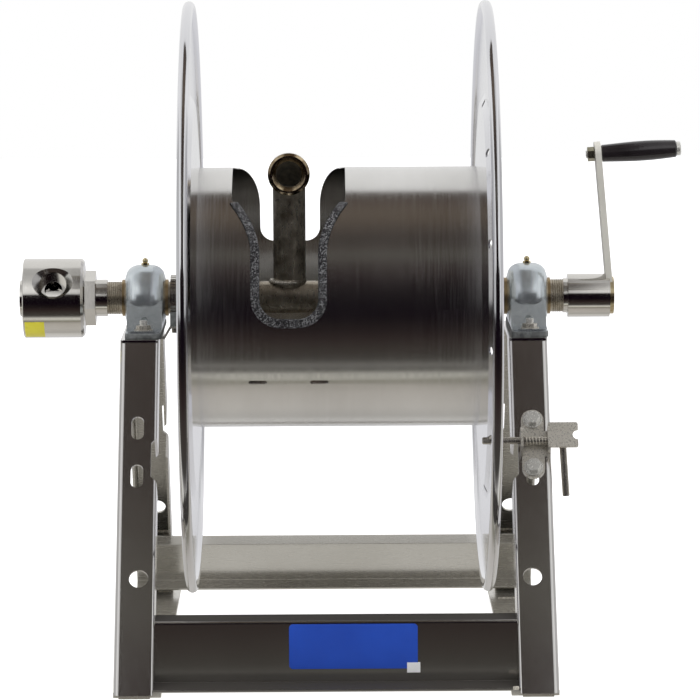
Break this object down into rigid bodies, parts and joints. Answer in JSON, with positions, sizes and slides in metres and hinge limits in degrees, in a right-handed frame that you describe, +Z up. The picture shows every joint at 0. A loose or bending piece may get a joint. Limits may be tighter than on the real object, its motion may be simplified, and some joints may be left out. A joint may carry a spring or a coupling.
{
  "type": "fire hose reel",
  "caption": "Hand-cranked hose reel: slotted drum between two wide side discs, on a channel A-frame stand with bearings, swivel inlet, crank and pin lock.",
  "frame": {"origin": "on the floor, in the middle of the four floor bolt holes", "axes": "+X along the axle from the swivel inlet to the crank, +Y to the back, +Z up"},
  "size_m": [0.6816, 0.614, 0.6638],
  "materials": {
    "polished_stainless": "polished stainless sheet",
    "brushed_stainless": "brushed stainless",
    "dark_steel": "dull dark steel",
    "zinc_casting": "zinc plated casting",
    "machined_steel": "turned, satin",
    "pipe_steel": "dull stainless pipe with heat tint",
    "bronze": "satin bronze",
    "plated_brass": "yellow plated",
    "fastener_steel": "zinc plated",
    "pad_rubber": "rough matt",
    "trim_fabric": "fuzzy grey-black",
    "seal_plastic": "matt",
    "black_grip": "glossy black",
    "blue_film": "blank blue film with a white border",
    "white_film": "blank white film",
    "yellow_film": "blank yellow film"
  },
  "bodies": {
    "stand": {"front_leg_left": "polished_stainless", "front_leg_right": "polished_stainless", "rear_leg_left": "polished_stainless", "rear_leg_right": "polished_stainless", "top_plate_left": "polished_stainless", "top_plate_right": "polished_stainless", "base_rail_left": "polished_stainless", "base_rail_right": "polished_stainless", "leg_shoes": "dark_steel", "front_cross_member": "polished_stainless", "rear_cross_member": "polished_stainless", "blank_plate": "blue_film", "blank_tag": "white_film", "bearing_pad_left": "pad_rubber", "bearing_pad_right": "pad_rubber", "bearing_housing_left": "zinc_casting", "bearing_housing_right": "zinc_casting", "bushing_left": "bronze", "bushing_right": "bronze", "grease_nipples": "plated_brass", "bearing_bolts": "fastener_steel", "bearing_nuts": "fastener_steel", "brake_strap": "fastener_steel", "brake_block": "pad_rubber", "brake_bolt": "fastener_steel", "lock_bracket": "brushed_stainless", "bracket_bolts": "fastener_steel", "bracket_washers": "fastener_steel", "bracket_nuts": "fastener_steel"},
    "reel": {"axle_pipe": "pipe_steel", "flow_plug": "pipe_steel", "riser_pipe": "pipe_steel", "outlet_elbow": "pipe_steel", "drum": "brushed_stainless", "slot_edge_trim": "trim_fabric", "disc_left": "polished_stainless", "disc_right": "polished_stainless", "hub_left": "machined_steel", "hub_right": "machined_steel", "hub_bolt_set": "fastener_steel", "hub_nut_set": "fastener_steel", "brake_ring": "machined_steel", "axle_collar": "brushed_stainless", "swivel_stem": "brushed_stainless", "crank_hub": "brushed_stainless", "crank_end_plate": "plated_brass", "crank_arm": "brushed_stainless", "handle_bolt": "fastener_steel", "handle_nut": "fastener_steel"},
    "grip": {"grip": "black_grip"},
    "swivel": {"swivel_body": "machined_steel", "swivel_cap": "machined_steel", "swivel_seals": "seal_plastic", "blank_sticker": "yellow_film"},
    "lock_slider": {"spring_washer": "dark_steel", "lock_spring": "dark_steel"},
    "lock_pin": {"lock_pin": "dark_steel", "pin_clip": "dark_steel"}
  },
  "joints": [
    {"name": "reel_spin", "type": "hinge", "parent": "stand", "child": "reel", "pos_m": [0, 0, 0.359], "axis": [1, 0, 0], "continuous": true},
    {"name": "grip_spin", "type": "hinge", "parent": "reel", "child": "grip", "pos_m": [0.27309, 0, 0.50544], "axis": [0.9981, 0, 0.061], "continuous": true},
    {"name": "swivel_spin", "type": "hinge", "parent": "stand", "child": "swivel", "pos_m": [-0.2878, 0, 0.359], "axis": [1, 0, 0], "continuous": true},
    {"name": "lock_slide", "type": "slide", "parent": "stand", "child": "lock_slider", "axis": [1, 0, 0], "range_m": [0, 0.018], "stiffness_N_per_m": 150, "springref_m": -0.01, "deforming": ["lock_spring"]},
    {"name": "lock_turn", "type": "hinge", "parent": "lock_slider", "child": "lock_pin", "pos_m": [0.2, -0.15709, 0.22979], "axis": [1, 0, 0], "range_deg": [0, 90]}
  ]
}
